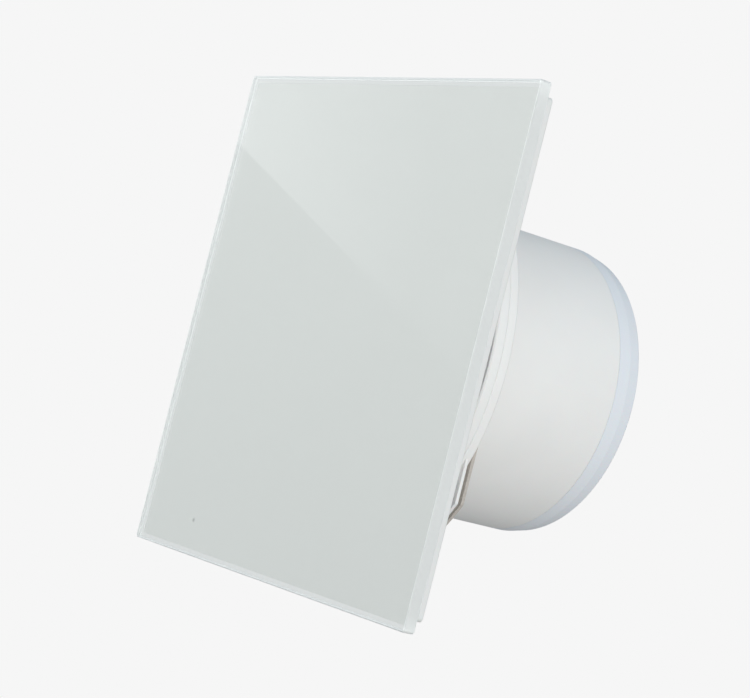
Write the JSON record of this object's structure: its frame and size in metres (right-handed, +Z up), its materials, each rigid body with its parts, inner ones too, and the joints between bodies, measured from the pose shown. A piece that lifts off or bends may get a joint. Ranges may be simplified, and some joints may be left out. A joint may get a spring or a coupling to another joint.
{
  "type": "bathroom extractor fan",
  "caption": "Wall extractor fan with a square glass front panel, a round two-layer base and a duct spigot with an axial impeller, motor and back-draught flaps.",
  "frame": {"origin": "on the duct axis, at the wall face", "axes": "+Y along the duct into the wall, +Z up, +X to the right as seen from the room; the glass panel faces -Y"},
  "size_m": [0.165, 0.092, 0.165],
  "materials": {
    "clear_glass": "clear float glass with ground edges",
    "white_film": "white paint film seen through the glass",
    "foam_tape": "white foam tape",
    "white_plastic": "white moulded plastic, satin gloss",
    "gasket_foam": "closed cell foam, warm grey",
    "grey_plastic": "light grey moulded plastic",
    "impeller_plastic": "white moulded plastic",
    "shutter_plastic": "bluish translucent plastic",
    "screw_zinc": "bright zinc plate",
    "lamination_steel": "stacked laminations",
    "bright_steel": "ground steel",
    "cast_aluminium": "die cast",
    "copper_loop": "bare copper",
    "enamelled_copper": "enamelled copper wire",
    "nylon": "natural nylon",
    "brass_part": "turned brass",
    "grommet_rubber": "black rubber",
    "wire_brown": "brown wire sleeve",
    "wire_blue": "blue wire sleeve"
  },
  "bodies": {
    "body": {"inlet_ring": "white_plastic", "ring_screws": "screw_zinc", "base_housing": "white_plastic", "spigot_tube": "white_plastic", "support_vanes": "white_plastic", "motor_cup": "white_plastic", "wall_gasket": "gasket_foam", "motor_cover": "grey_plastic", "motor_cover_screws": "screw_zinc", "stator_core": "lamination_steel", "shading_loops": "copper_loop", "coil_bobbins": "nylon", "coil_windings": "enamelled_copper", "front_bearing": "bright_steel", "rear_bearing": "bright_steel", "terminal_block": "nylon", "terminal_tubes": "brass_part", "terminal_screws": "screw_zinc", "terminal_cover": "white_plastic", "cover_screw": "screw_zinc", "cable_grommet": "grommet_rubber", "cable_clamp": "grey_plastic", "clamp_screws": "screw_zinc", "live_wire": "wire_brown", "neutral_wire": "wire_blue", "backdraft_ring": "shutter_plastic", "centre_bar": "shutter_plastic", "flap_pin": "bright_steel", "flap_spring": "bright_steel"},
    "panel": {"glass_panel": "clear_glass", "panel_film": "white_film", "fixing_tape": "foam_tape", "panel_carrier": "white_plastic"},
    "rotor": {"impeller": "impeller_plastic", "motor_shaft": "bright_steel", "rotor_core": "lamination_steel", "rotor_cage": "cast_aluminium", "shaft_spacers": "brass_part", "hub_clip": "bright_steel"},
    "left_flap": {"flap_left": "shutter_plastic"},
    "right_flap": {"flap_right": "shutter_plastic"}
  },
  "joints": [
    {"name": "panel_pull", "type": "slide", "parent": "body", "child": "panel", "axis": [0, -1, 0], "range_m": [0, 0.03]},
    {"name": "impeller_spin", "type": "hinge", "parent": "body", "child": "rotor", "pos_m": [0, 0.034, 0], "axis": [0, 1, 0], "continuous": true},
    {"name": "flap_left_hinge", "type": "hinge", "parent": "body", "child": "left_flap", "pos_m": [0, 0.0639, 0], "axis": [0, 0, -1], "range_deg": [0, 80], "stiffness_Nm_per_rad": 0.001, "springref_deg": -5.73},
    {"name": "flap_right_hinge", "type": "hinge", "parent": "body", "child": "right_flap", "pos_m": [0, 0.0639, 0], "axis": [0, 0, 1], "range_deg": [0, 80], "stiffness_Nm_per_rad": 0.001, "springref_deg": -5.73}
  ]
}
